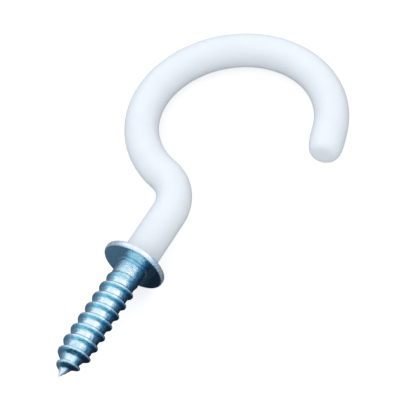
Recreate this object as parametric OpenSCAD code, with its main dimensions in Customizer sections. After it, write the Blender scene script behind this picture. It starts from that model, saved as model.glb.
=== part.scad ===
// Coated screw hook: a round wire with a rolled wood thread, an upset collar and
// a crooked, almost closed hook, dipped in soft vinyl from the collar to its end.
//
// The hook lies as it comes to rest on a table: +Z is up, +Y runs along the screw
// from its point to the hook, and the origin is the centre of the seat, the face
// under the collar. The wire's own path is drawn flat in XY and then tipped.

/* [Wire] */
// Diameter of the steel wire, which is the plain shank and the core of the hook
wire_d = 3.5; // [3:0.1:4.2]
// Chamfer round the cut end of the wire
wire_chamfer = 0.3; // [0.1:0.05:0.6]

/* [Screw] */
// Length from the seat to the point
screw_len = 16.2; // [13:0.1:24]
// Length of plain shank between the seat and the thread
shank_len = 1.3; // [0.8:0.1:4]
// Length of the tapered gimlet point
point_len = 4.3; // [3:0.1:6]
// Axial distance from one crest to the next
thread_pitch = 1.56; // [1.4:0.02:2]
// How far the crests stand above the wire's surface
thread_rise = 0.24; // [0.1:0.02:0.4]
// How far the roots sink below the wire's surface
thread_sink = 0.12; // [0.06:0.01:0.2]
// Axial width of the crest
crest_w = 0.1; // [0.05:0.01:0.2]
// Axial width of the flank that faces the hook
hook_flank_w = 0.36; // [0.1:0.02:0.4]
// Axial width of the flank that faces the point
point_flank_w = 0.6; // [0.2:0.02:0.7]
// Plain length left between the last crest and the point
bare_point_len = 0.6; // [0.4:0.05:1.2]
// Angle round the shank at which the thread starts
thread_phase = 325; // [0:5:355]

/* [Collar] */
// Diameter of the collar
collar_d = 7.8; // [6:0.1:11]
// Thickness of the collar
collar_h = 0.8; // [0.6:0.05:1.6]
// Rounding of the collar's rim
rim_r = 0.28; // [0.1:0.02:0.3]
// Fillet where the shank meets the seat
seat_fillet = 0.16; // [0.05:0.01:0.3]

/* [Hook] */
// Straight neck from the seat to the first bend
neck_len = 8.4; // [3:0.1:16]
// Centre-line radius of the first bend
crook_r = 5.4; // [4:0.1:9]
// Turn of the first bend
crook_angle = 70; // [45:1:85]
// Centre-line radius of the hook
hook_r = 11.8; // [8:0.1:20]
// Turn of the hook
hook_sweep = 235; // [170:1:245]
// Straight length after the hook's bend
tail_len = 1.2; // [0.5:0.1:4]

/* [Coat] */
// Thickness of the vinyl on the wire
coat_wall = 0.45; // [0.3:0.05:0.9]
// Length over which the closed end rounds off
cap_len = 3; // [2.4:0.1:4]
// Fullness of the closed end towards its face: 2 is an ellipse, more is squarer
cap_face_fullness = 5; // [3:0.25:7]
// Fullness of the closed end along its side
cap_side_fullness = 2.4; // [2:0.1:4]
// Vinyl between the wire's cut end and the outside
cap_wall = 1.9; // [1.5:0.1:2.5]

/* [Hidden] */

$fn = 96;

wire_r = wire_d / 2;
collar_r = collar_d / 2;
coat_r = wire_r + coat_wall;
crest_r = wire_r + thread_rise;

// Neighbouring lengths of the rod run this far into one another, and every second one
// is this much thinner, so that no two of their surfaces coincide
lap = 0.06;
lap_step = 0.02;
// Thread grid: facets round one turn, and the depth by which it is set in the shank
turn_steps = 32;
thread_overlap = 0.4;
// Bulge of the point: 1 is a straight cone, more is rounder
core_bulge = 1.6;
crest_bulge = 2.3;
// Share of a turn over which the thread rises at its start and fades at its end
lead_in_turns = 1.2;
lead_out_turns = 0.35;
// Length over which the shank necks down to the root of the thread
sink_run = 1.2;
// Segments in each small rounding
rounding_steps = 8;
cap_steps = 16;

// Centres of the two bends and the end of the hook's arc
crook_centre = [-crook_r, neck_len];
hook_centre = crook_centre + (crook_r + hook_r) * [cos(crook_angle), sin(crook_angle)];
hook_end_angle = 180 + crook_angle - hook_sweep;
hook_end = hook_centre + hook_r * [cos(hook_end_angle), sin(hook_end_angle)];

// Tip that lays the collar's rim and the far side of the hook on one level surface
rim_centre = [collar_h - rim_r, collar_r - rim_r];
rest_run = hook_centre[1] + hook_r - rim_centre[0];
rest_tip = atan(rim_centre[1] / rest_run) - asin((coat_r - rim_r) / norm([rest_run, rim_centre[1]]));

// ---- Outlines ----------------------------------------------------------------

// Points on an arc from one angle to another, both ends included
function arc_points(centre, r, from, to, steps = rounding_steps) =
    [for (i = [0 : steps]) centre + r * [cos(from + (to - from) * i / steps),
                                         sin(from + (to - from) * i / steps)]];

// Half-section of the collar and plain shank: x is the radius, y runs to the hook
function collar_outline() = concat(
    [[0, -shank_len], [wire_r, -shank_len]],
    arc_points([wire_r + seat_fillet, -seat_fillet], seat_fillet, 180, 90),
    arc_points([collar_r - rim_r, rim_r], rim_r, -90, 0),
    arc_points([collar_r - rim_r, collar_h - rim_r], rim_r, 0, 90),
    [[0, collar_h]]);

// Half-section of the coat's tail: a straight and a full, rounded end, which is flat at
// its very centre
function coat_tail_outline() = let (
    r = coat_r - lap_step,
    cap = [for (i = [0 : cap_steps - 1]) let (turn = 90 * i / cap_steps)
        [r * pow(cos(turn), 2 / cap_face_fullness),
         tail_len + cap_len * pow(sin(turn), 2 / cap_side_fullness)]])
    concat([[0, -lap], [r, -lap]], cap, [[0, cap[cap_steps - 1][1]]]);

// Half-section of the wire's tail, with its chamfered cut end
function wire_tail_outline() = let (
    r = wire_r - lap_step,
    end = tail_len + cap_len - cap_wall)
    [[0, -lap], [r, -lap], [r, end - wire_chamfer], [r - wire_chamfer, end], [0, end]];

// ---- Thread --------------------------------------------------------------------

// Distances below are measured from the seat towards the point.
point_start = screw_len - point_len;
thread_end = screw_len - bare_point_len;

// How far along the point a distance lies, from 0 where the taper starts to 1
function taper(s) = max(0, s - point_start) / point_len;
function eased(x) = let (c = min(1, max(0, x))) c * c * (3 - 2 * c);
function root_radius(s) = wire_r - lap_step - (thread_sink - lap_step) * eased((s - shank_len) / sink_run);
function core_radius(s) = root_radius(s) * (1 - pow(taper(s), core_bulge));
function crest_radius(s) = crest_r * (1 - pow(taper(s), crest_bulge));
function thread_height(s) = (crest_radius(s) - core_radius(s))
    * eased((s - shank_len) / (lead_in_turns * thread_pitch))
    * eased((thread_end - s) / (lead_out_turns * thread_pitch));

// One pitch of the thread: [share of the pitch from the middle of a root, rise from 0 to 1]
root_w = thread_pitch - hook_flank_w - crest_w - point_flank_w;
hook_flank_at = root_w / 2;
crest_at = hook_flank_at + hook_flank_w;
point_flank_at = crest_at + crest_w;
thread_profile = [for (p = [
    [0, 0],
    [hook_flank_at, 0],
    [hook_flank_at + hook_flank_w / 2, 0.5],
    [crest_at, 1],
    [point_flank_at, 1],
    [point_flank_at + point_flank_w / 2, 0.5],
    [point_flank_at + point_flank_w, 0]]) [p[0] / thread_pitch, p[1]]];

profile_steps = len(thread_profile);
last_step = floor(((screw_len - bare_point_len / 3 - shank_len) / thread_pitch - 1) * turn_steps);

// A point of the helicoid: the step goes round the screw, the place goes along one pitch
function thread_point(step, place) = let (
    whole = floor(place / profile_steps),
    share = whole + thread_profile[place % profile_steps][0],
    s = shank_len + thread_pitch * (step / turn_steps + share),
    r = core_radius(s) + thread_height(s) * thread_profile[place % profile_steps][1],
    angle = thread_phase - 360 * step / turn_steps)
    [r * cos(angle), r * sin(angle), -s];

// The threaded length and point as one closed skin. A strip one pitch wide winds down
// the screw, so that each turn shares its edge with the next and every crest is a true
// helix. A ring inside the shank closes its start and the point closes its end.
module threaded_length() {
    n = turn_steps;
    m = profile_steps;
    ring_r = core_radius(shank_len - thread_overlap);
    ring = [for (i = [0 : n - 1]) let (angle = thread_phase - 360 * i / n)
        [ring_r * cos(angle), ring_r * sin(angle), thread_overlap - shank_len]];
    strip = [for (i = [0 : last_step]) for (k = [0 : m - 1]) thread_point(i, k)];
    edge = [for (i = [last_step - n + 1 : last_step]) thread_point(i, m)];
    apex = [0, 0, -screw_len];
    points = concat(ring, strip, edge, [apex]);

    first_edge = n + len(strip);
    tip = len(points) - 1;
    function at(i, k) = k < m ? n + i * m + k
        : i + n <= last_step ? at(i + n, 0) : first_edge + i + n - 1 - last_step;

    start_hub = at(n - 1, 0);
    end_hub = at(last_step - n + 1, m);
    faces = concat(
        [[for (i = [0 : n - 1]) i]],
        [for (i = [0 : n - 1]) let (j = (i + 1) % n) [j, i, at(i, 0)]],
        [for (i = [0 : n - 1]) let (j = (i + 1) % n) [j, at(i, 0), at(j, 0)]],
        [for (k = [0 : m - 1]) [at(0, k), start_hub, at(0, k + 1)]],
        [for (i = [0 : last_step - 1]) for (k = [0 : m - 1]) [at(i + 1, k), at(i, k), at(i, k + 1)]],
        [for (i = [0 : last_step - 1]) for (k = [0 : m - 1]) [at(i + 1, k), at(i, k + 1), at(i + 1, k + 1)]],
        [for (k = [0 : m - 1]) [at(last_step, k), at(last_step, k + 1), end_hub]],
        [for (i = [last_step - n + 1 : last_step - 1]) [at(i + 1, m), at(i, m), tip]],
        [[end_hub, at(last_step, m), tip]]);
    polyhedron(points = points, faces = faces);
}

// ---- Path of the wire ------------------------------------------------------------

// Puts its children, drawn up +Z, on the wire's path at a point and heading in XY
module heading(at, angle) {
    translate([at[0], at[1], 0]) rotate([0, 0, angle - 90]) rotate([-90, 0, 0]) children();
}

// A bend of round section in XY, counter-clockwise from an angle, lengthened at both ends
module bend(centre, bend_r, from, sweep, r, longer = 0) {
    extra = longer / bend_r * 180 / PI;
    translate([centre[0], centre[1], 0]) rotate([0, 0, from - extra])
        rotate_extrude(angle = sweep + 2 * extra) translate([bend_r, 0]) circle(r = r);
}

// The round rod of the hook, from a height on the neck to the end its outline gives it
module crooked_rod(from, r, tail_outline) {
    heading([0, from], 90) cylinder(h = neck_len - from, r = r);
    bend(crook_centre, crook_r, 0, crook_angle, r - lap_step, lap);
    bend(hook_centre, hook_r, hook_end_angle, hook_sweep, r);
    heading(hook_end, hook_end_angle - 90) rotate_extrude() polygon(tail_outline);
}

// The wire above the seat, from the middle of the collar to its cut end in the coat
module wire_core() {
    crooked_rod(collar_h / 2, wire_r, wire_tail_outline());
}

// Lays a piece drawn flat in XY down on the collar's rim and the far side of the hook
module laid_down() {
    rotate([-rest_tip, 0, 0]) children();
}

// ---- Pieces --------------------------------------------------------------------------

// One cold-formed, zinc-plated wire: thread and point, shank, collar and hook
module steel_hook() {
    color("lightsteelblue") laid_down() {
        heading([0, 0], 90) {
            threaded_length();
            rotate_extrude() polygon(collar_outline());
        }
        wire_core();
    }
}

// The white vinyl sleeve, closed and rounded over the wire's end
module vinyl_coat() {
    color("ghostwhite") laid_down() difference() {
        crooked_rod(collar_h, coat_r, coat_tail_outline());
        wire_core();
    }
}

steel_hook();
vinyl_coat();
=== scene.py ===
"""A vinyl-coated screw hook, finished round its packed construction model.

The hook is one round wire with a rolled wood thread, an upset collar and a crooked,
nearly closed hook, dipped in soft vinyl from the collar to its end. Both pieces are
drawn straight, as the blank that the wire was before it was bent, and Geometry Nodes
turn the outline, roll the thread and bend the blank along the wire's path.
"""

import logging
import math
from collections.abc import Mapping, Sequence
from dataclasses import dataclass, field
from enum import Enum
from typing import Any

import bpy
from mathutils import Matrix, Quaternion, Vector


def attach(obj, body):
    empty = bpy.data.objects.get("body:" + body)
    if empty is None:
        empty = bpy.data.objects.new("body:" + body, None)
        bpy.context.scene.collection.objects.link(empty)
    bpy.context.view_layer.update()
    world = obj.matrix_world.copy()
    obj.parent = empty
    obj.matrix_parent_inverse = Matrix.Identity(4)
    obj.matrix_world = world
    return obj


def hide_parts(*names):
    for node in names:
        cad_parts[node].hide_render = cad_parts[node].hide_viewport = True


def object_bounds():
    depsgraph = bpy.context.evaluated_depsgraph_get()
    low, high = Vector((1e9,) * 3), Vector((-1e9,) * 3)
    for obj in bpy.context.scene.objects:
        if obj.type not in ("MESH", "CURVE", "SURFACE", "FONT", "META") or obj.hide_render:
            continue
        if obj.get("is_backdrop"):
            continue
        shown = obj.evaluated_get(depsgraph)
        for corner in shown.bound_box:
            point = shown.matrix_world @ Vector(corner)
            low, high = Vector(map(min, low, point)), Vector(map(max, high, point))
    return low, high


LOG = logging.getLogger("screw_hook")
MM = 0.001
BLANK = "blank"
RELIEF = "relief"

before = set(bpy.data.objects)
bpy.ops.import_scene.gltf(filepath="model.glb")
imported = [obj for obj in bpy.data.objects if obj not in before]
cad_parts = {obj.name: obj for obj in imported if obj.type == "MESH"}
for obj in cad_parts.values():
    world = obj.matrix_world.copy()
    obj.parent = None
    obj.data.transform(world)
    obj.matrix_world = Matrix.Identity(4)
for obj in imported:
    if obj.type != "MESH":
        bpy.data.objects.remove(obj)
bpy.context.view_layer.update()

Point = tuple[float, float]
Span = tuple[float, float]
Place = tuple[float, float, float]
Colour = tuple[float, float, float]


# ---- Node trees, materials and objects -------------------------------------------


class Signal:
    """A node's output, on which Python's arithmetic adds Math nodes."""

    def __init__(self, graph: "Graph", socket: bpy.types.NodeSocket) -> None:
        """Wraps one socket.

        Args:
            graph: The tree that the socket belongs to.
            socket: The output to compute with.
        """
        self.graph = graph
        self.socket = socket

    def __add__(self, other: "Term") -> "Signal":
        """Adds a number or signal."""
        return self.graph.maths("ADD", self, other)

    def __radd__(self, other: float) -> "Signal":
        """Adds to a number."""
        return self.graph.maths("ADD", other, self)

    def __sub__(self, other: "Term") -> "Signal":
        """Subtracts a number or signal."""
        return self.graph.maths("SUBTRACT", self, other)

    def __rsub__(self, other: float) -> "Signal":
        """Subtracts from a number."""
        return self.graph.maths("SUBTRACT", other, self)

    def __mul__(self, other: "Term") -> "Signal":
        """Multiplies by a number or signal."""
        return self.graph.maths("MULTIPLY", self, other)

    def __rmul__(self, other: float) -> "Signal":
        """Multiplies a number."""
        return self.graph.maths("MULTIPLY", other, self)

    def __truediv__(self, other: "Term") -> "Signal":
        """Divides by a number or signal."""
        return self.graph.maths("DIVIDE", self, other)

    def __pow__(self, other: "Term") -> "Signal":
        """Raises to a power."""
        return self.graph.maths("POWER", self, other)


Term = Signal | float


@dataclass(frozen=True)
class Noise:
    """A noise's number of features per millimetre, and how many finer layers it has."""

    scale: float
    detail: float


class Graph:
    """Builds one shader or geometry tree."""

    # A Mix node's colour sockets, which share their names with its number sockets.
    COLOUR_ENDS = (6, 7)
    COLOUR_MIXED = 2

    def __init__(self, tree: bpy.types.NodeTree) -> None:
        """Starts on an empty tree.

        Args:
            tree: The tree to fill, whose nodes are removed first.
        """
        self.tree = tree
        tree.nodes.clear()

    def node(
        self,
        kind: str,
        settings: Mapping[str, Any] | None = None,
        inputs: Mapping[str | int, Any] | None = None,
    ) -> bpy.types.Node:
        """Adds a node.

        Args:
            kind: The node's type name.
            settings: Its properties, set before its inputs. The key stops holds a
                ramp's positions and colours.
            inputs: Values, signals or nodes for its inputs, by name or by number.

        Returns:
            The new node.
        """
        made = self.tree.nodes.new(kind)
        for name, value in (settings or {}).items():
            if name == "stops":
                self._set_stops(made, value)
            else:
                setattr(made, name, value)
        for key, value in (inputs or {}).items():
            self._feed(made.inputs[key], value)
        return made

    def _feed(self, socket: bpy.types.NodeSocket, value: Any) -> None:
        """Links a signal or a node to an input, or sets the input's own value.

        Args:
            socket: The input.
            value: A signal, a node whose first output counts, or a plain value.
        """
        if isinstance(value, Signal):
            self.tree.links.new(value.socket, socket)
        elif isinstance(value, bpy.types.Node):
            self.tree.links.new(value.outputs[0], socket)
        else:
            socket.default_value = value

    @staticmethod
    def _set_stops(ramp: bpy.types.Node, stops: Sequence[tuple[float, Colour]]) -> None:
        """Gives a colour ramp its stops.

        Args:
            ramp: The ramp's node.
            stops: Positions from 0 to 1 with their colours, in order.
        """
        elements = ramp.color_ramp.elements
        while len(elements) < len(stops):
            elements.new(1.0)
        for element, (at, colour) in zip(elements, stops):
            element.position = at
            element.color = (*colour, 1.0)

    def signal(self, node: bpy.types.Node, output: str | int = 0) -> Signal:
        """Wraps a node's output."""
        return Signal(self, node.outputs[output])

    def maths(self, operation: str, *terms: Term) -> Signal:
        """Adds a Math node on one to three numbers or signals."""
        made = self.node("ShaderNodeMath", {"operation": operation}, dict(enumerate(terms)))
        return self.signal(made)

    def clamped(self, value: Term, low: Term, high: Term) -> Signal:
        """Keeps a value between two limits."""
        return self.maths("MINIMUM", self.maths("MAXIMUM", value, low), high)

    def eased(self, value: Term) -> Signal:
        """Turns 0 to 1 into a smooth step that starts and ends level."""
        x = self.clamped(value, 0.0, 1.0)
        return x * x * (3.0 - 2.0 * x)

    def rising(self, value: Signal, span: Span) -> Signal:
        """Goes smoothly from 0 to 1 over a span of a value."""
        return self.eased((value - span[0]) / (span[1] - span[0]))

    def vector(self, x: Term = 0.0, y: Term = 0.0, z: Term = 0.0) -> Signal:
        """Joins three numbers or signals to a vector."""
        return self.signal(self.node("ShaderNodeCombineXYZ", None, {0: x, 1: y, 2: z}))

    def parts(self, vector: Signal) -> tuple[Signal, Signal, Signal]:
        """Splits a vector into its three numbers."""
        split = self.node("ShaderNodeSeparateXYZ", None, {0: vector})
        return self.signal(split, 0), self.signal(split, 1), self.signal(split, 2)

    def attribute(self, name: str, output: str = "Vector") -> Signal:
        """Reads an attribute of the mesh in a material."""
        return self.signal(self.node("ShaderNodeAttribute", {"attribute_name": name}), output)

    def noise(self, place: Signal, noise: Noise) -> Signal:
        """Adds a noise of about 0 to 1, read at a place in millimetres."""
        values = {"Vector": place, "Scale": noise.scale, "Detail": noise.detail}
        return self.signal(self.node("ShaderNodeTexNoise", None, values))

    def stretched(self, place: Signal, factors: Place) -> Signal:
        """Multiplies a vector, part by part."""
        made = self.node("ShaderNodeVectorMath", {"operation": "MULTIPLY"}, {0: place, 1: factors})
        return self.signal(made)

    def bump(self, height: Signal, strength: float, depth: float) -> bpy.types.Node:
        """Adds a bump, with its depth in millimetres, whose output is a normal."""
        values = {"Height": height, "Strength": strength, "Distance": depth * MM}
        return self.node("ShaderNodeBump", None, values)

    def surface(self, kind: str, inputs: Mapping[str | int, Any]) -> None:
        """Adds a shader and makes it the material's surface."""
        shader = self.node(kind, None, inputs)
        self.node("ShaderNodeOutputMaterial", None, {"Surface": shader})

    def seen(self) -> Signal:
        """Is 1 for camera, glossy and transmission rays, and 0 for the rest.

        Returns:
            The share, which is never more than 1.
        """
        ray = self.node("ShaderNodeLightPath")
        seen = self.signal(ray, "Is Camera Ray") + self.signal(ray, "Is Glossy Ray")
        return self.maths("MINIMUM", seen + self.signal(ray, "Is Transmission Ray"), 1.0)

    def tinted(self, amount: Term, low: Signal | Colour, high: Signal | Colour) -> Signal:
        """Mixes two colours.

        Args:
            amount: The share of the second colour.
            low: The first colour.
            high: The second colour.

        Returns:
            The mixed colour.
        """
        ends = [c if isinstance(c, Signal) else (*c, 1.0) for c in (low, high)]
        values = {"Factor": amount, **dict(zip(self.COLOUR_ENDS, ends))}
        made = self.node("ShaderNodeMix", {"data_type": "RGBA"}, values)
        return self.signal(made, self.COLOUR_MIXED)


def new_material(name: str) -> tuple[bpy.types.Material, Graph]:
    """Adds a material.

    Args:
        name: Its name.

    Returns:
        The material, and its tree, which is empty.
    """
    made = bpy.data.materials.new(name)
    made.use_nodes = True
    return made, Graph(made.node_tree)


def added(name: str, data: bpy.types.ID) -> bpy.types.Object:
    """Adds an object to the scene.

    Args:
        name: Its name.
        data: Its mesh, camera or lamp.

    Returns:
        The object, at the origin.
    """
    made = bpy.data.objects.new(name, data)
    bpy.context.scene.collection.objects.link(made)
    return made


# ---- Sizes, in millimetres -------------------------------------------------------


def arc(centre: Point, radius: float, start: float, end: float, steps: int) -> list[Point]:
    """Points on a circle's arc, both ends included, with the angles in degrees."""
    turns = [math.radians(start + (end - start) * i / steps) for i in range(steps + 1)]
    return [(centre[0] + radius * math.cos(a), centre[1] + radius * math.sin(a)) for a in turns]


def rows_between(start: Point, end: Point, spacing: float, margin: float = 0.02) -> list[Point]:
    """Points that divide a straight stretch of outline, without its two ends.

    Args:
        start: One end.
        end: The other end.
        spacing: Longest gap between points.
        margin: Distance from each end to the nearest point, which keeps the stretch
            straight beside a rounding.

    Returns:
        The points in between.
    """
    length = math.dist(start, end)
    count = max(1, math.ceil((length - 2 * margin) / spacing))
    steps = [margin + (length - 2 * margin) * i / count for i in range(count + 1)]
    return [tuple(a + (b - a) * step / length for a, b in zip(start, end)) for step in steps]


@dataclass(frozen=True)
class WirePath:
    """The centre line of the wire: a neck, a first bend, the hook and a short tail.

    The wire's cut end lies past the tail, inside the coat's cushion.
    """

    neck: float = 8.4
    crook_r: float = 5.4
    crook_angle: float = 70.0
    hook_r: float = 11.8
    hook_sweep: float = 235.0
    tail: float = 1.2
    cut_gap: float = 1.1

    @property
    def crook_length(self) -> float:
        """Length of the first bend."""
        return self.crook_r * math.radians(self.crook_angle)

    @property
    def hook_length(self) -> float:
        """Length of the hook's bend."""
        return self.hook_r * math.radians(self.hook_sweep)

    @property
    def tail_end(self) -> float:
        """Distance from the seat to the end of the tail, along the wire."""
        return self.neck + self.crook_length + self.hook_length + self.tail

    @property
    def cut_end(self) -> float:
        """Distance from the seat to the wire's cut end, along the wire."""
        return self.tail_end + self.cut_gap

    @property
    def hook_centre_rise(self) -> float:
        """Height of the hook's centre above the seat, along the screw."""
        return self.neck + (self.crook_r + self.hook_r) * math.sin(math.radians(self.crook_angle))


@dataclass(frozen=True)
class Section:
    """Thicknesses shared by the wire, its collar and its coat."""

    wire_r: float = 1.75
    coat_r: float = 2.2
    collar_r: float = 3.9
    collar_h: float = 0.8
    rim_r: float = 0.28
    cut_chamfer: float = 0.3

    def rest_tip(self, path: WirePath) -> float:
        """The tip that lays the rim and the far side of the hook on one level.

        Args:
            path: The wire's centre line.

        Returns:
            The angle in radians, hook end down.
        """
        run = path.hook_centre_rise + path.hook_r - (self.collar_h - self.rim_r)
        rise = self.collar_r - self.rim_r
        return math.atan(rise / run) - math.asin((self.coat_r - self.rim_r) / math.hypot(run, rise))


# ---- Finishes --------------------------------------------------------------------


@dataclass(frozen=True)
class PlatedSpot:
    """What the plating reads at a spot: its zones, each from 0 to 1, and its noises."""

    rolled: Signal
    root: Signal
    flank: Signal
    crest: Signal
    point: Signal
    tip: Signal
    run_out: Signal
    fillet: Signal
    seat: Signal
    rim: Signal

    cloud: Signal
    mottle: Signal
    flush: Signal
    speck: Signal
    drawn: Signal
    marks: Signal


@dataclass(frozen=True)
class ZincPlate:
    """Bright zinc plate with a blue passivate, pale with wear at its tip and edges, with painted
    highlights on its edges and a painted reflection under its collar.

    A pair says where a zone starts and where it is full. Depths are in millimetres from
    the seat towards the point, and girths out from the centre line. Heights are shares of
    the bump's depth.
    """

    name: str = "zinc_steel"
    bright: Colour = (0.9, 0.93, 0.97)
    blue: Colour = (0.44, 0.7, 0.8)
    warm: Colour = (0.97, 0.96, 0.84)
    # The colour where wear shows the steel. It also paints the highlights on the thread's crests,
    # the collar's rim and its fillet.
    bare_and_highlight: Colour = (0.98, 0.93, 0.97)

    rolled_depth: Span = (1.3, 2.1)
    point_depth: Span = (12.8, 13.8)
    tip_depth: Span = (14.7, 15.9)
    run_out_depth: Span = (0.3, 0.5)
    run_out_end: Span = (1.9, 2.5)
    seat_back: Span = (-0.1, -0.05)
    seat_front: Span = (0.05, 0.1)
    seat_girth: Span = (1.8, 1.9)
    fillet_girth: Span = (1.88, 1.93)
    rim_girth: Span = (3.68, 3.84)
    root_relief: Span = (0.0, 0.4)
    bottom_relief: Span = (0.0, 0.2)
    crest_relief: Span = (0.92, 1.0)

    tip_wear: float = 0.6
    # Crest and rim: partly real wear, partly a painted highlight of the bright line that their
    # roundings show. Fillet: only a painted highlight of its bright ring.
    crest_wear_and_highlight: float = 0.42
    rim_wear_and_highlight: float = 0.65
    fillet_highlight: float = 0.22
    wear_and_highlight_floor: float = 0.3
    wear_and_highlight_speckle: float = 1.4

    blueness: float = 0.94
    flank_blue: float = 0.12
    root_pale: float = 0.74
    point_pale: float = 0.5
    run_out_pale: float = 0.7
    # A painted reflection: how much paler the collar's flat underside is made, standing in for the
    # shank's mirrored highlight.
    seat_painted_reflection: float = 0.3
    cloud_tint: float = 0.6
    mottle_tint: float = 1.3
    flush_share: Span = (0.52, 0.64)
    flush_tint: float = 0.35

    roughness: float = 0.14
    roughness_spread: float = 0.16
    roughness_limits: Span = (0.06, 0.6)
    root_roughness: float = 0.08
    wear_and_highlight_roughness: float = 0.2
    wear_and_highlight_dulling: float = 0.45

    cloud: Noise = Noise(0.9, 3.0)
    mottle: Noise = Noise(2.6, 3.0)
    flush: Noise = Noise(1.7, 2.0)
    speck: Noise = Noise(5.5, 2.0)
    drawn: Noise = Noise(1.6, 4.0)
    drawn_stretch: Place = (7.0, 0.5, 7.0)
    marks: Noise = Noise(1.3, 3.0)
    marks_stretch: Place = (1.1, 8.0, 1.1)
    drawn_height: float = 0.2
    speck_height: float = 0.3
    mottle_height: float = 2.4
    rolled_marks: float = 0.5
    run_out_marks: float = 2.2
    pressed_smooth: float = 0.7
    bump_strength: float = 0.9
    bump_depth: float = 0.03

    def material(self) -> bpy.types.Material:
        """Builds the material.

        Returns:
            A metal whose tint follows the thread and the plating's own cloudiness.
        """
        made, graph = new_material(self.name)
        here = self._read(graph)
        worn_and_highlit = self._wear_and_highlights(graph, here)
        rough = self.roughness + self.root_roughness * here.root + self.wear_and_highlight_roughness * worn_and_highlit
        rough = rough + self.roughness_spread * (here.drawn + here.speck - 1.0)
        height = self._height(graph, here)
        graph.surface(
            "ShaderNodeBsdfPrincipled",
            {
                "Base Color": self._tint(graph, here, worn_and_highlit),
                "Metallic": 1.0 - self.wear_and_highlight_dulling * worn_and_highlit,
                "Roughness": graph.clamped(rough, *self.roughness_limits),
                "Normal": graph.bump(height, self.bump_strength, self.bump_depth),
            },
        )
        return made

    def _read(self, graph: Graph) -> PlatedSpot:
        """Reads the thread's relief and the place on the straight blank.

        Args:
            graph: The material's tree.

        Returns:
            The zones' shares and the noises. The drawn noise runs along the wire, and the
            marks run round it.
        """
        blank, relief = graph.attribute(BLANK), graph.attribute(RELIEF, "Fac")
        across, along, up = graph.parts(blank)
        girth = graph.maths("SQRT", across * across + up * up)
        depth = -1.0 * along
        rolled = graph.rising(depth, self.rolled_depth)
        bottom = 1.0 - graph.rising(relief, self.bottom_relief)
        run_out = graph.rising(depth, self.run_out_depth)
        under = 1.0 - graph.rising(depth, self.seat_front)
        flat = under * graph.rising(depth, self.seat_back)
        # The flank's share is 1 halfway up the ridge, and 0 at its root and its crest.
        return PlatedSpot(
            rolled=rolled,
            root=rolled * (1.0 - graph.rising(relief, self.root_relief)),
            flank=4.0 * relief * (1.0 - relief),
            crest=graph.rising(relief, self.crest_relief),
            point=graph.rising(depth, self.point_depth) * bottom,
            tip=graph.rising(depth, self.tip_depth) * bottom,
            run_out=run_out * (1.0 - graph.rising(depth, self.run_out_end)),
            fillet=under * (1.0 - graph.rising(girth, self.fillet_girth)),
            seat=flat * graph.rising(girth, self.seat_girth),
            rim=graph.rising(girth, self.rim_girth),
            cloud=graph.noise(blank, self.cloud),
            mottle=graph.noise(blank, self.mottle),
            flush=graph.noise(blank, self.flush),
            speck=graph.noise(blank, self.speck),
            drawn=graph.noise(graph.stretched(blank, self.drawn_stretch), self.drawn),
            marks=graph.noise(graph.stretched(blank, self.marks_stretch), self.marks),
        )

    def _wear_and_highlights(self, graph: Graph, here: PlatedSpot) -> Signal:
        """Finds how pale the plating is made by wear and by painted highlights.

        Args:
            graph: The material's tree.
            here: The spot's zones and noises.

        Returns:
            The wear and painted highlights, from 0 to 1, broken up by the specks.
        """
        # Wear at the tip, wear with painted highlights on the crests and the rim, and a painted
        # highlight on the fillet.
        wear_and_highlight = graph.maths("MAXIMUM", self.tip_wear * here.tip, self.crest_wear_and_highlight * here.crest)
        wear_and_highlight = graph.maths("MAXIMUM", wear_and_highlight, self.rim_wear_and_highlight * here.rim)
        wear_and_highlight = graph.maths("MAXIMUM", wear_and_highlight, self.fillet_highlight * here.fillet)
        return graph.clamped(wear_and_highlight * (self.wear_and_highlight_floor + self.wear_and_highlight_speckle * here.speck), 0.0, 1.0)

    def _tint(self, graph: Graph, here: PlatedSpot, worn_and_highlit: Signal) -> Signal:
        """Mixes the plating's colour.

        Args:
            graph: The material's tree.
            here: The spot's zones and noises.
            worn_and_highlit: How pale the plating is made by wear and painted highlights.

        Returns:
            Blue on the flanks, pale in the roots and on the point, paler under the collar by a
            painted reflection, and steel-coloured where wear and painted highlights lie.
        """
        blueness = (
            self.blueness
            + self.flank_blue * here.flank
            - self.root_pale * here.root
            - self.point_pale * here.point
            - self.run_out_pale * here.run_out
            # Painted reflection: the collar's flat underside is paled where it mirrors the shank's
            # highlight.
            - self.seat_painted_reflection * here.seat
            - worn_and_highlit
            + self.cloud_tint * (here.cloud - 0.5)
            + self.mottle_tint * (here.mottle - 0.5)
        )
        colour = graph.tinted(graph.clamped(blueness, 0.0, 1.0), self.bright, self.blue)
        flushed = graph.rising(here.flush, self.flush_share) * (here.root + here.run_out)
        colour = graph.tinted(self.flush_tint * flushed, colour, self.warm)
        # The steel's colour laid over the wear and the painted highlights.
        return graph.tinted(worn_and_highlit, colour, self.bare_and_highlight)

    def _height(self, graph: Graph, here: PlatedSpot) -> Signal:
        """Adds up drawing lines, specks, mottle and the marks of the rolling dies.

        Args:
            graph: The material's tree.
            here: The spot's zones and noises.

        Returns:
            The height that the bump takes.
        """
        height = (
            self.drawn_height * here.drawn
            + self.speck_height * here.speck
            + self.mottle_height * here.mottle
        )
        marked = self.rolled_marks * here.rolled + self.run_out_marks * here.run_out
        pressed = graph.maths("MAXIMUM", here.rim, here.fillet)
        return (height + here.marks * marked) * (1.0 - self.pressed_smooth * pressed)


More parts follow.
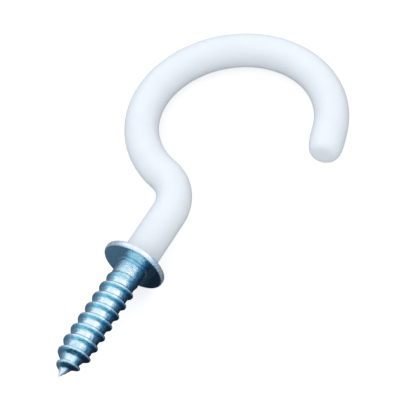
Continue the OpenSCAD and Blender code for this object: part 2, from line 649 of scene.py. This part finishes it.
@dataclass(frozen=True)
class DippedVinyl:
    """Soft white vinyl with a satin skin, faintly uneven where it ran and was handled.

    Depths are in millimetres.
    """

    name: str = "white_vinyl"
    clean: Colour = (0.875, 0.895, 0.935)
    dull: Colour = (0.85, 0.875, 0.92)
    dull_share: Span = (0.35, 0.75)
    roughness: float = 0.42
    roughness_spread: float = 0.2
    roughness_limits: Span = (0.2, 0.7)
    gloss: float = 0.36
    softness: float = 0.12
    soft_depth: float = 0.6
    cloud: Noise = Noise(0.28, 3.0)
    peel: Noise = Noise(2.2, 2.0)
    fine: Noise = Noise(14.0, 2.0)
    fine_share: float = 0.12
    peel_strength: float = 0.2
    peel_depth: float = 0.06

    def material(self) -> bpy.types.Material:
        """Builds the material.

        Returns:
            A satin plastic with slow clouds and a fine orange-peel skin.
        """
        made, graph = new_material(self.name)
        blank = graph.attribute(BLANK)
        cloud, peel, fine = (graph.noise(blank, n) for n in (self.cloud, self.peel, self.fine))
        rough = self.roughness + self.roughness_spread * (peel - 0.5)
        height = peel + self.fine_share * fine
        dullness = graph.rising(cloud, self.dull_share)
        graph.surface(
            "ShaderNodeBsdfPrincipled",
            {
                "Base Color": graph.tinted(dullness, self.clean, self.dull),
                "Roughness": graph.clamped(rough, *self.roughness_limits),
                "Normal": graph.bump(height, self.peel_strength, self.peel_depth),
                "Specular IOR Level": self.gloss,
                "Subsurface Weight": self.softness,
                "Subsurface Scale": self.soft_depth * MM,
            },
        )
        return made


# ---- The formed rod --------------------------------------------------------------


Sizes = Mapping[str, Signal]


class Kind(Enum):
    """What a kept attribute holds."""

    NUMBER = "FLOAT"
    VECTOR = "FLOAT_VECTOR"


@dataclass(frozen=True)
class Spot:
    """A point of the straight blank: its radius, height above the seat and angle."""

    radius: Signal
    along: Signal
    angle: Signal


@dataclass
class FormedRod:
    """A piece turned from an outline and bent along the wire's path.

    Lengths are in millimetres and the sharp angle, over which an edge stays crisp, is in
    degrees.
    """

    name: str
    body: str
    replaces: str
    slot: str
    finish: ZincPlate | DippedVinyl
    path: WirePath = field(default_factory=WirePath)
    section: Section = field(default_factory=Section)
    columns: int = 64
    row_spacing: float = 0.45
    sharp_angle: float = 34.0
    weld: float = 0.0002

    def outline(self) -> list[Point]:
        """The half-section of the straight blank, from its first pole to its last.

        Returns:
            Pairs of radius and distance from the seat, both in millimetres.
        """
        raise NotImplementedError

    def sizes(self) -> dict[str, float]:
        """Extra named inputs of the piece's tree."""
        return {}

    def relief(self, graph: Graph, size: Sizes, spot: Spot) -> tuple[Signal, Signal]:
        """What the surface adds to the turned radius.

        Args:
            graph: The piece's tree.
            size: The tree's inputs by name.
            spot: The point's place on the blank.

        Returns:
            The added radius, and a share from 0 to 1 that is kept for the finish.
        """
        raise NotImplementedError

    def build(self) -> bpy.types.Object:
        """Makes the piece, dresses it and puts it on its body.

        Returns:
            The finished object, at the origin with its place in its mesh.
        """
        outline = self.outline()
        mesh = bpy.data.meshes.new(self.name)
        edges = [(i, i + 1) for i in range(len(outline) - 1)]
        mesh.from_pydata([(radius, along, 0.0) for radius, along in outline], edges, [])
        piece = added(self.name, mesh)
        skin = self.finish.material()
        self._form(piece, len(outline), skin)
        piece.data.materials.clear()
        piece.data.materials.append(skin)
        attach(piece, self.body)
        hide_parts(self.replaces)
        return piece

    def _form(self, piece: bpy.types.Object, rows: int, skin: bpy.types.Material) -> None:
        """Runs the piece's tree on its outline and keeps the plain mesh.

        Args:
            piece: An object whose mesh is the outline.
            rows: The outline's number of points.
            skin: The material that the tree gives the mesh.
        """
        values = {
            "Rows": rows,
            "Columns": self.columns,
            "Neck": self.path.neck,
            "First bend length": self.path.crook_length,
            "First bend radius": self.path.crook_r,
            "Hook length": self.path.hook_length,
            "Hook radius": self.path.hook_r,
            "Rest tip": self.section.rest_tip(self.path),
            "Sharp angle": math.radians(self.sharp_angle),
            **self.sizes(),
        }
        tree = bpy.data.node_groups.new(f"{self.name}_form", "GeometryNodeTree")
        tree.interface.new_socket("Outline", in_out="INPUT", socket_type="NodeSocketGeometry")
        for name, value in values.items():
            kind = "NodeSocketInt" if isinstance(value, int) else "NodeSocketFloat"
            tree.interface.new_socket(name, in_out="INPUT", socket_type=kind)
        tree.interface.new_socket("Material", in_out="INPUT", socket_type="NodeSocketMaterial")
        tree.interface.new_socket("Piece", in_out="OUTPUT", socket_type="NodeSocketGeometry")
        self._fill(Graph(tree), values)

        modifier = piece.modifiers.new("Form", "NODES")
        modifier.node_group = tree
        values["Material"] = skin
        for item in tree.interface.items_tree:
            if item.in_out == "INPUT" and item.name in values:
                modifier[item.identifier] = values[item.name]
        graph = bpy.context.evaluated_depsgraph_get()
        formed = bpy.data.meshes.new_from_object(piece.evaluated_get(graph))
        piece.modifiers.clear()
        piece.data = formed
        formed.name = self.name

    def _fill(self, graph: Graph, names: Mapping[str, Any]) -> None:
        """Builds the tree: a grid, turned by the outline, bent and laid down.

        Args:
            graph: The empty tree.
            names: Its sizes, by the names of its inputs.
        """
        group = graph.node("NodeGroupInput")
        size = {name: graph.signal(group, name) for name in names}
        counts = {"Vertices X": size["Rows"], "Vertices Y": size["Columns"] + 1.0}
        grid = graph.node("GeometryNodeMeshGrid", None, counts)
        blank, share = self._turned(graph, size, graph.signal(group, "Outline"))
        kept = self._stored(graph, grid, BLANK, Kind.VECTOR, blank)
        kept = self._stored(graph, kept, RELIEF, Kind.NUMBER, share)
        place = self._bent(graph, size, blank)
        placed = graph.node("GeometryNodeSetPosition", None, {"Geometry": kept, "Position": place})
        closed = self._closed(graph, size, placed)
        real = graph.node("GeometryNodeRealizeInstances", None, {"Geometry": closed})
        dressing = {"Geometry": real, "Material": graph.signal(group, "Material")}
        dressed = graph.node("GeometryNodeSetMaterial", None, dressing)
        graph.node("NodeGroupOutput", None, {"Piece": dressed})

    def _turned(self, graph: Graph, size: Sizes, outline: Signal) -> tuple[Signal, Signal]:
        """Turns the outline round the blank's centre line, and adds the relief.

        Args:
            graph: The tree.
            size: Its inputs by name.
            outline: The outline's geometry, which holds one point for each row.

        Returns:
            The grid point's place on the blank, and the relief's share.
        """
        index = graph.signal(graph.node("GeometryNodeInputIndex"))
        row_points = size["Columns"] + 1.0
        row = graph.maths("FLOOR", (index + 0.5) / row_points)
        angle = (index - row * row_points) / size["Columns"] * math.tau
        point = graph.node("GeometryNodeInputPosition")
        sample = graph.node(
            "GeometryNodeSampleIndex",
            {"data_type": Kind.VECTOR.value},
            {"Geometry": outline, "Value": point, "Index": row},
        )
        turned_radius, along, _ = graph.parts(graph.signal(sample))
        added, share = self.relief(graph, size, Spot(turned_radius, along, angle))
        radius = turned_radius + added
        across = radius * graph.maths("COSINE", angle)
        up = radius * graph.maths("SINE", angle)
        return graph.vector(across, along, up), share

    def _closed(self, graph: Graph, size: Sizes, shape: bpy.types.Node) -> bpy.types.Node:
        """Lays the bent rod down, welds its seam and poles, and sets its shading.

        Args:
            graph: The tree.
            size: Its inputs by name.
            shape: The node that gives the bent grid, in millimetres.

        Returns:
            The node that gives the closed rod, in metres.
        """
        turn = graph.vector(-1.0 * size["Rest tip"])
        resting = {"Geometry": shape, "Rotation": turn, "Scale": (MM, MM, MM)}
        laid = graph.node("GeometryNodeTransform", None, resting)
        merging = {"Geometry": laid, "Distance": self.weld * MM}
        welded = graph.node("GeometryNodeMergeByDistance", None, merging)
        fold = graph.signal(graph.node("GeometryNodeInputMeshEdgeAngle"), "Unsigned Angle")
        soft = graph.node(
            "FunctionNodeCompare", {"operation": "LESS_THAN"}, {0: fold, 1: size["Sharp angle"]}
        )
        shading = {"Geometry": welded, "Shade Smooth": soft}
        return graph.node("GeometryNodeSetShadeSmooth", {"domain": "EDGE"}, shading)

    @staticmethod
    def _stored(
        graph: Graph, shape: bpy.types.Node, name: str, kind: Kind, value: Signal
    ) -> bpy.types.Node:
        """Keeps a value on every point of a mesh, under a name that materials read."""
        keeping = {"Geometry": shape, "Name": name, "Value": value}
        return graph.node("GeometryNodeStoreNamedAttribute", {"data_type": kind.value}, keeping)

    @staticmethod
    def _bent(graph: Graph, size: Sizes, blank: Signal) -> Signal:
        """Carries a point of the straight blank to its place beside the bent centre line.

        Args:
            graph: The tree.
            size: Its inputs by name.
            blank: The point's place on the blank: across it, along it and up.

        Returns:
            The point's place, before the hook is laid down.
        """
        across, along, up = graph.parts(blank)
        neck, crook_length = size["Neck"], size["First bend length"]
        crook_r, hook_r = size["First bend radius"], size["Hook radius"]
        hook_length = size["Hook length"]
        straight = graph.maths("MINIMUM", along, neck)
        crook = graph.clamped(along - neck, 0.0, crook_length) / crook_r
        hook = graph.clamped(along - neck - crook_length, 0.0, hook_length) / hook_r
        tail = graph.maths("MAXIMUM", along - neck - crook_length - hook_length, 0.0)

        turned = crook_length / crook_r
        heading = crook - hook
        side_x, side_y = graph.maths("COSINE", heading), graph.maths("SINE", heading)
        # The first bend turns to -X round a centre on that side, the hook back to +X.
        x = (
            crook_r * (graph.maths("COSINE", crook) - 1.0)
            + hook_r * (graph.maths("COSINE", turned) - graph.maths("COSINE", turned - hook))
            - tail * side_y
            + across * side_x
        )
        y = (
            straight
            + crook_r * graph.maths("SINE", crook)
            + hook_r * (graph.maths("SINE", turned) - graph.maths("SINE", turned - hook))
            + tail * side_x
            + across * side_y
        )
        return graph.vector(x, y, up)


@dataclass
class SteelHook(FormedRod):
    """The zinc-plated wire: gimlet point, rolled thread, shank, collar and the core of the hook."""

    name: str = "steel_wire"
    body: str = "root"
    replaces: str = "steel_hook"
    slot: str = "zinc_steel"
    finish: ZincPlate = field(default_factory=ZincPlate)
    screw_len: float = 16.2
    shank_len: float = 1.3
    point_len: float = 4.3
    pitch: float = 1.56
    thread_rise: float = 0.24
    thread_sink: float = 0.12
    crest_w: float = 0.1
    hook_flank_w: float = 0.36
    point_flank_w: float = 0.6
    bare_point: float = 0.6
    thread_phase: float = 325.0
    lead_in: float = 1.2
    lead_out: float = 0.35
    core_bulge: float = 1.6
    crest_bulge: float = 2.3
    seat_fillet: float = 0.16
    sink_run: float = 1.2
    rim_trim: float = 0.004
    rounding_steps: int = 10
    spare_turns: float = 8.0

    def core_radius(self, depth: float) -> float:
        """Radius of the thread's root.

        Args:
            depth: Distance from the seat towards the point.

        Returns:
            The radius, which falls to nothing at the point.
        """
        sunk = min(1.0, max(0.0, (depth - self.shank_len) / self.sink_run))
        root = self.section.wire_r - self.thread_sink * sunk * sunk * (3.0 - 2.0 * sunk)
        taper = max(0.0, depth - (self.screw_len - self.point_len)) / self.point_len
        return root * (1.0 - taper**self.core_bulge)

    def outline(self) -> list[Point]:
        """Point, core of the thread, shank, collar and the core of the hook.

        Returns:
            Pairs of radius and distance from the seat.
        """
        s = self.section
        spacing = self.pitch / self.columns
        seat_r = s.wire_r + self.seat_fillet
        rim_at, rim_r = s.collar_r - s.rim_r, s.rim_r - self.rim_trim
        thread_rows = round((self.screw_len - self.shank_len) / spacing)
        points = [(0.0, -self.screw_len)]
        for i in range(1, thread_rows):
            depth = self.screw_len - i * spacing
            points.append((self.core_radius(depth), -depth))
        shank_end = (s.wire_r, -self.seat_fillet)
        shank_start = (s.wire_r, -self.shank_len)
        points += [shank_start, *rows_between(shank_start, shank_end, spacing)]
        points += arc((seat_r, -self.seat_fillet), self.seat_fillet, 180, 90, self.rounding_steps)
        points += rows_between((seat_r, 0.0), (rim_at, self.rim_trim), self.row_spacing)
        points += arc((rim_at, s.rim_r), rim_r, -90, 0, self.rounding_steps)
        points += arc((rim_at, s.collar_h - s.rim_r), rim_r, 0, 90, self.rounding_steps)
        top = s.collar_h - self.rim_trim
        points += rows_between((rim_at, top), (s.wire_r, s.collar_h), self.row_spacing)
        cut_end = self.path.cut_end
        core_start, core_end = (s.wire_r, s.collar_h), (s.wire_r, cut_end - s.cut_chamfer)
        points += [core_start, *rows_between(core_start, core_end, self.row_spacing), core_end]
        points += [(s.wire_r - s.cut_chamfer, cut_end), (0.0, cut_end)]
        return points

    def sizes(self) -> dict[str, float]:
        """The thread's sizes.

        Returns:
            The sizes by the names of the tree's inputs.
        """
        return {
            "Screw length": self.screw_len,
            "Shank length": self.shank_len,
            "Point length": self.point_len,
            "Pitch": self.pitch,
            "Root radius": self.section.wire_r - self.thread_sink,
            "Crest radius": self.section.wire_r + self.thread_rise,
            "Crest width": self.crest_w,
            "Flank width to the hook": self.hook_flank_w,
            "Flank width to the point": self.point_flank_w,
            "Thread end": self.screw_len - self.bare_point,
            "Thread phase": self.thread_phase / 360.0,
        }

    def relief(self, graph: Graph, size: Sizes, spot: Spot) -> tuple[Signal, Signal]:
        """The rolled thread, as the height of its ridge over the core.

        Args:
            graph: The piece's tree.
            size: The tree's inputs by name.
            spot: The point's place on the blank.

        Returns:
            The ridge's height, and its share from root to crest.
        """
        depth = -1.0 * spot.along
        pitch = size["Pitch"]
        taper = graph.clamped(
            (depth - size["Screw length"] + size["Point length"]) / size["Point length"], 0.0, 1.0
        )
        core = size["Root radius"] * (1.0 - taper**self.core_bulge)
        crest = size["Crest radius"] * (1.0 - taper**self.crest_bulge)
        start = graph.eased((depth - size["Shank length"]) / (self.lead_in * pitch))
        end = graph.eased((size["Thread end"] - depth) / (self.lead_out * pitch))
        height = (crest - core) * start * end

        turns = (depth - size["Shank length"]) / pitch - size["Thread phase"]
        turns = turns - spot.angle / math.tau
        # The spare turns keep the count above 0 on the hook's side, so that it has a fraction.
        place = graph.maths("FRACT", turns + self.spare_turns) * pitch
        hook_flank, point_flank = size["Flank width to the hook"], size["Flank width to the point"]
        rise_at = (pitch - hook_flank - size["Crest width"] - point_flank) / 2.0
        fall_at = rise_at + hook_flank + size["Crest width"]
        rise = graph.eased((place - rise_at) / hook_flank)
        fall = 1.0 - graph.eased((place - fall_at) / point_flank)
        share = graph.maths("MINIMUM", rise, fall)
        return height * share, share * start * end


@dataclass
class VinylCoat(FormedRod):
    """The white sleeve, closed and rounded over the wire's end."""

    name: str = "vinyl_sleeve"
    body: str = "root"
    replaces: str = "vinyl_coat"
    slot: str = "white_vinyl"
    finish: DippedVinyl = field(default_factory=DippedVinyl)
    columns: int = 96
    cap_len: float = 3.0
    face_fullness: float = 5.0
    side_fullness: float = 2.4
    lip: float = 0.08
    skin_trim: float = 0.024
    unevenness: float = 0.035
    hollows: Noise = Noise(1.0, 1.0)
    hollows_round: float = 1.2
    hollows_along: float = 0.3
    bore_fade: float = 0.3
    cap_steps: int = 24
    lip_steps: int = 4

    def outline(self) -> list[Point]:
        """The bore from its closed end to the collar, and the outside back to the end.

        Returns:
            Pairs of radius and distance from the seat.
        """
        s = self.section
        tail_end, cut_end = self.path.tail_end, self.path.cut_end
        bore_end, bore_start = (s.wire_r, cut_end - s.cut_chamfer), (s.wire_r, s.collar_h)
        coat_r = s.coat_r - self.skin_trim
        side_start, side_end = (coat_r, s.collar_h + self.lip), (coat_r, tail_end)
        points = [(0.0, cut_end), (s.wire_r - s.cut_chamfer, cut_end), bore_end]
        points += [*rows_between(bore_end, bore_start, self.row_spacing), bore_start]
        points += arc((coat_r - self.lip, side_start[1]), self.lip, -90, 0, self.lip_steps)
        points += rows_between(side_start, side_end, self.row_spacing)
        for i in range(self.cap_steps):
            turn = math.pi / 2 * i / self.cap_steps
            radius = coat_r * math.cos(turn) ** (2 / self.face_fullness)
            rise = self.cap_len * math.sin(turn) ** (2 / self.side_fullness)
            points.append((radius, tail_end + rise))
        return [*points, (0.0, tail_end + self.cap_len)]

    def sizes(self) -> dict[str, float]:
        """How deep the skin's hollows are, and the radius past which they start."""
        return {"Unevenness": self.unevenness, "Bore radius": self.section.wire_r}

    def relief(self, graph: Graph, size: Sizes, spot: Spot) -> tuple[Signal, Signal]:
        """Slow hollows of the dipped skin, which never stand above the coat's true radius.

        Args:
            graph: The piece's tree.
            size: The tree's inputs by name.
            spot: The point's place on the blank.

        Returns:
            The hollow's depth, below zero, and the cloudiness that it follows.
        """
        across = graph.maths("COSINE", spot.angle) * self.hollows_round
        up = graph.maths("SINE", spot.angle) * self.hollows_round
        place = graph.vector(across, spot.along * self.hollows_along, up)
        cloud = graph.noise(place, self.hollows)
        outside = graph.eased((spot.radius - size["Bore radius"]) / self.bore_fade)
        return -1.0 * size["Unevenness"] * cloud * outside, cloud


# ---- Studio ----------------------------------------------------------------------


@dataclass(frozen=True)
class Viewpoint:
    """Where the camera stands, looking down on the hook.

    Angles are in degrees and places in metres. The lens is in millimetres.
    """

    azimuth: float = 40.70
    elevation: float = 53.27
    roll: float = -14.82
    distance: float = 0.17716
    aim: Place = (0.002737, 0.011447, 0.0)
    lens: float = 134.64
    clip: Span = (0.01, 10.0)

    def place(self) -> None:
        """Adds the camera and makes it the scene's."""
        side, tilt = math.radians(self.azimuth), math.radians(self.elevation)
        back = Vector(
            (math.sin(side) * math.cos(tilt), -math.cos(side) * math.cos(tilt), math.sin(tilt))
        )
        camera = added("camera", bpy.data.cameras.new("camera"))
        camera.data.lens = self.lens
        camera.data.clip_start, camera.data.clip_end = self.clip
        camera.location = Vector(self.aim) + back * self.distance
        camera.rotation_mode = "QUATERNION"
        level = (-back).to_track_quat("-Z", "Y")
        camera.rotation_quaternion = level @ Quaternion((0.0, 0.0, 1.0), math.radians(self.roll))
        bpy.context.scene.camera = camera


@dataclass(frozen=True)
class Softbox:
    """A large soft lamp aimed at the hook."""

    name: str
    direction: Place
    distance: float
    width: float
    power: float
    colour: Colour = (1.0, 1.0, 1.0)

    def place(self, aim: Vector) -> None:
        """Adds the lamp, which reflections don't show.

        Args:
            aim: The point it faces.
        """
        lamp = bpy.data.lights.new(self.name, "AREA")
        lamp.shape = "DISK"
        lamp.size = self.width
        lamp.energy = self.power
        lamp.color = self.colour
        made = added(self.name, lamp)
        toward = Vector(self.direction).normalized()
        made.location = aim + toward * self.distance
        made.rotation_euler = toward.to_track_quat("Z", "Y").to_euler()
        made.visible_glossy = False


@dataclass(frozen=True)
class Floor:
    """A matt pale floor that shows white and keeps the hook's shadow."""

    colour: Colour = (0.5, 0.5, 0.5)
    glow: float = 0.68
    width: float = 3.0

    def place(self, centre: Vector, height: float) -> None:
        """Adds the floor under the hook.

        Args:
            centre: The hook's centre.
            height: The level that the hook lies on.
        """
        half = self.width / 2
        offsets = [(-half, -half), (half, -half), (half, half), (-half, half)]
        corners = [(centre.x + x, centre.y + y, height) for x, y in offsets]
        mesh = bpy.data.meshes.new("floor")
        mesh.from_pydata(corners, [], [(0, 1, 2, 3)])
        mesh.materials.append(self._material())
        staged("floor", mesh)

    def _material(self) -> bpy.types.Material:
        """Matt, with a glow that only the camera, gloss and glass see.

        Returns:
            The floor's material.
        """
        made, graph = new_material("floor")
        matt = graph.node("ShaderNodeBsdfDiffuse", None, {"Color": (*self.colour, 1.0)})
        shining = {"Color": (1.0, 1.0, 1.0, 1.0), "Strength": self.glow * graph.seen()}
        glow = graph.node("ShaderNodeEmission", None, shining)
        graph.surface("ShaderNodeAddShader", {0: matt, 1: glow})
        return made


@dataclass(frozen=True)
class Panel:
    """A brighter or darker stretch of the tent's cloth, with soft edges.

    Turns are in degrees round the screw, and lengths in metres along it.
    """

    tone: Colour
    turn: Span
    along: Span
    turn_edge: float = 9.0
    along_edge: float = 0.06

    def over(self, graph: Graph, ground: Signal, turn: Signal, along: Signal) -> Signal:
        """Lays the panel over the cloth's tone.

        Args:
            graph: The tent's tree.
            ground: The tone so far.
            turn: The angle round the screw's centre line, in degrees.
            along: The distance along it from the seat, in metres.

        Returns:
            The tone with the panel.
        """
        sides = (turn, self.turn, self.turn_edge), (along, self.along, self.along_edge)
        inside: Term = 1.0
        for value, (start, end), edge in sides:
            inside = inside * graph.eased((value - start) / edge + 0.5)
            inside = inside * graph.eased((end - value) / edge + 0.5)
        return graph.tinted(inside, ground, self.tone)


@dataclass(frozen=True)
class Tent:
    """A tunnel of graded cloth along the screw, closed past its point.

    Only reflections show it. The tones are given by the angle round the screw's centre
    line, in degrees from +X over the top, so that 180 to 360 is the sheet that lies on
    the floor. Lengths are in metres.
    """

    radius: float = 0.6
    reach: float = 1.4
    foot_gap: float = 0.00002
    steps: int = 48
    cloth: tuple[tuple[float, Colour], ...] = (
        (0.0, (0.068, 0.23, 0.41)),
        (12.0, (0.14, 0.43, 0.62)),
        (28.0, (0.2, 0.54, 0.66)),
        (50.0, (0.27, 0.62, 0.72)),
        (70.0, (0.36, 0.74, 0.86)),
        (125.0, (0.38, 0.76, 0.9)),
        (152.0, (0.22, 0.4, 0.53)),
        (180.0, (0.13, 0.21, 0.3)),
        (235.0, (0.06, 0.115, 0.165)),
        (285.0, (0.01, 0.016, 0.026)),
        (325.0, (0.014, 0.03, 0.055)),
        (348.0, (0.04, 0.13, 0.24)),
        (360.0, (0.068, 0.23, 0.41)),
    )
    panels: tuple[Panel, ...] = (
        Panel((0.74, 0.88, 1.0), (20.0, 146.0), (-0.06, 0.6), 18.0, 0.14),
        Panel((1.6, 1.62, 1.55), (38.0, 62.0), (0.12, 0.5)),
        Panel((1.25, 1.28, 1.3), (78.0, 92.0), (0.16, 0.46)),
        Panel((0.95, 1.08, 1.2), (100.0, 138.0), (0.12, 0.5)),
        Panel((1.0, 1.1, 1.2), (22.0, 128.0), (-0.4, -0.14), 16.0, 0.1),
        Panel((0.85, 0.88, 1.0), (-40.0, 400.0), (0.72, 2.0), 9.0, 0.3),
        Panel((0.02, 0.045, 0.075), (-40.0, 400.0), (-3.0, -1.15), 9.0, 0.4),
    )

    def place(self, middle: float, height: float) -> None:
        """Adds the tent over the hook.

        Args:
            middle: Where along the screw's line its middle is.
            height: The level that the hook lies on.
        """
        turns = [math.pi * i / self.steps for i in range(self.steps + 1)]
        foot = height + self.foot_gap
        ring = [(self.radius * math.cos(a), foot + self.radius * math.sin(a)) for a in turns]
        count = len(ring)
        points = [(x, middle + end * self.reach, z) for end in (-1.0, 1.0) for x, z in ring]
        faces = [(i, (i + 1) % count, (i + 1) % count + count, i + count) for i in range(count)]
        faces.append(tuple(range(count)))
        mesh = bpy.data.meshes.new("tent")
        mesh.from_pydata(points, [], faces)
        mesh.materials.append(self._material(middle))
        tent = staged("tent", mesh)
        for rays in ("camera", "diffuse", "shadow", "transmission"):
            setattr(tent, f"visible_{rays}", False)

    def _material(self, middle: float) -> bpy.types.Material:
        """The cloth's ramp by the angle round the screw, and the panels over it.

        Args:
            middle: Where along the screw's line the tent's middle is.

        Returns:
            The tent's material.
        """
        made, graph = new_material("tent")
        place = graph.signal(graph.node("ShaderNodeTexCoord"), "Object")
        x, y, z = graph.parts(place)
        share = graph.maths("FRACT", graph.maths("ARCTAN2", z, x) / math.tau + 1.0)
        stops = [(degrees / 360.0, tone) for degrees, tone in self.cloth]
        tone = graph.signal(graph.node("ShaderNodeValToRGB", {"stops": stops}, {0: share}))
        for panel in self.panels:
            tone = panel.over(graph, tone, share * 360.0, y - middle)
        graph.surface("ShaderNodeEmission", {"Color": tone})
        return made


def staged(name: str, mesh: bpy.types.Mesh) -> bpy.types.Object:
    """Adds a piece of the studio.

    Args:
        name: The object's name.
        mesh: Its mesh, in world places.

    Returns:
        The object, marked as part of the stage.
    """
    made = added(name, mesh)
    made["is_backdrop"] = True
    return made


@dataclass(frozen=True)
class Studio:
    """The floor, the tent, the lamps and the even light round them."""

    ambient: Colour = (0.93, 0.97, 1.0)
    ambient_strength: float = 0.78
    floor: Floor = field(default_factory=Floor)
    tent: Tent = field(default_factory=Tent)
    lamps: tuple[Softbox, ...] = (
        Softbox("back_right_lamp", (0.55, 0.45, 0.7), 0.5, 0.2, 0.25, (1.0, 0.98, 0.95)),
        Softbox("back_left_lamp", (-0.6, 0.4, 0.7), 0.5, 0.34, 0.43, (0.94, 0.96, 1.0)),
        Softbox("front_lamp", (0.25, -0.75, 0.6), 0.7, 0.5, 1.08, (0.94, 0.97, 1.0)),
    )

    def place(self, low: Vector, high: Vector) -> None:
        """Adds everything that isn't the hook.

        Args:
            low: Lowest corner of the hook's box.
            high: Highest corner of the hook's box.
        """
        centre = (low + high) / 2
        self.floor.place(centre, low.z)
        self.tent.place(middle=0.0, height=low.z)
        for lamp in self.lamps:
            lamp.place(centre)
        self._surround()

    def _surround(self) -> None:
        """Lights the studio evenly from all round, and shows white past the floor."""
        world = bpy.data.worlds.new("studio")
        world.use_nodes = True
        bpy.context.scene.world = world
        graph = Graph(world.node_tree)
        shining = {"Color": (*self.ambient, 1.0), "Strength": self.ambient_strength}
        light = graph.node("ShaderNodeBackground", None, shining)
        white = graph.node("ShaderNodeBackground", None, {"Color": (1.0, 1.0, 1.0, 1.0)})
        both = graph.node("ShaderNodeMixShader", None, {0: graph.seen(), 1: light, 2: white})
        graph.node("ShaderNodeOutputWorld", None, {"Surface": both})


def main() -> None:
    """Builds the hook, then the studio round it."""
    logging.basicConfig(level=logging.INFO, format="%(name)s %(message)s")
    LOG.info("dresses %s", ", ".join(sorted(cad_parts)))
    bpy.context.scene.view_settings.view_transform = "Standard"
    for part in (SteelHook(), VinylCoat()):
        piece = part.build()
        triangles = sum(len(face.vertices) - 2 for face in piece.data.polygons)
        LOG.info("%s: %d triangles, replaces %s", part.name, triangles, part.replaces)
    low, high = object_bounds()
    Studio().place(low, high)
    Viewpoint().place()


if __name__ == "__main__":
    main()
